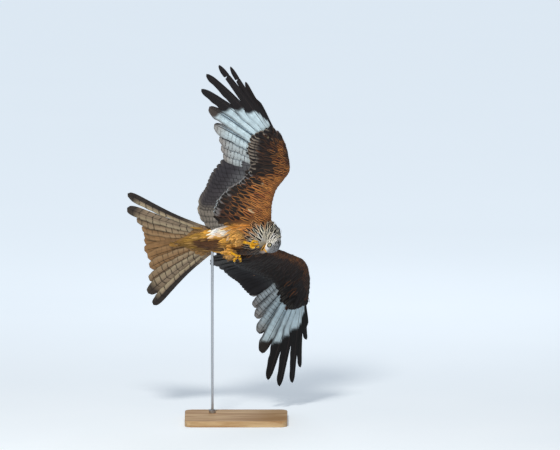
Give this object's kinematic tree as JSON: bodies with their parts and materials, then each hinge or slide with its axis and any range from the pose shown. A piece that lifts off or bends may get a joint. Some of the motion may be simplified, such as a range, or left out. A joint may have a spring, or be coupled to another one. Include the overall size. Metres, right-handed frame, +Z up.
{
  "type": "museum model of a red kite",
  "caption": "Life-size red kite in a steep banking turn, seen from below, wings and forked tail spread, head bent to a raised foot, on a steel rod and flat wooden base.",
  "frame": {"origin": "centre of the base's flat underside", "axes": "+Z up; +X the way the bird's breast points, as seen by a viewer in front at -Y; +Y away from that viewer"},
  "size_m": [0.6625, 0.4621, 1.3111],
  "materials": {
    "body_feathers": "soft rufous plumage",
    "neck_feathers": "buff plumage with dark streaks",
    "head_feathers": "pale grey plumage with fine streaks",
    "wing_feathers": "dark vanes with a pale window",
    "tail_feathers": "rufous vanes with dark bars",
    "cere_skin": "yellow, satin",
    "bill_horn": "dark horn, satin",
    "bill_base": "yellow horn, satin",
    "eye": "wet, pale straw yellow",
    "leg_skin": "yellow, scaly, satin",
    "claw_horn": "black horn",
    "stand_wood": "oiled pale wood",
    "stand_steel": "satin"
  },
  "bodies": {
    "root": {"torso": "body_feathers", "neck": "neck_feathers", "wing_right": "wing_feathers", "wing_left": "wing_feathers", "tail": "tail_feathers", "head": "head_feathers", "bill_upper": "bill_horn", "cere": "cere_skin", "bill_lower": "bill_base", "eye_right": "eye", "eye_left": "eye", "thigh_right": "body_feathers", "shank_right": "leg_skin", "foot_right": "leg_skin", "claw_right_1": "claw_horn", "claw_right_2": "claw_horn", "claw_right_3": "claw_horn", "claw_right_4": "claw_horn", "thigh_left": "body_feathers", "shank_left": "leg_skin", "foot_left": "leg_skin", "claw_left_1": "claw_horn", "claw_left_2": "claw_horn", "claw_left_3": "claw_horn", "claw_left_4": "claw_horn", "stand_base": "stand_wood", "stand_rod": "stand_steel"}
  },
  "joints": []
}
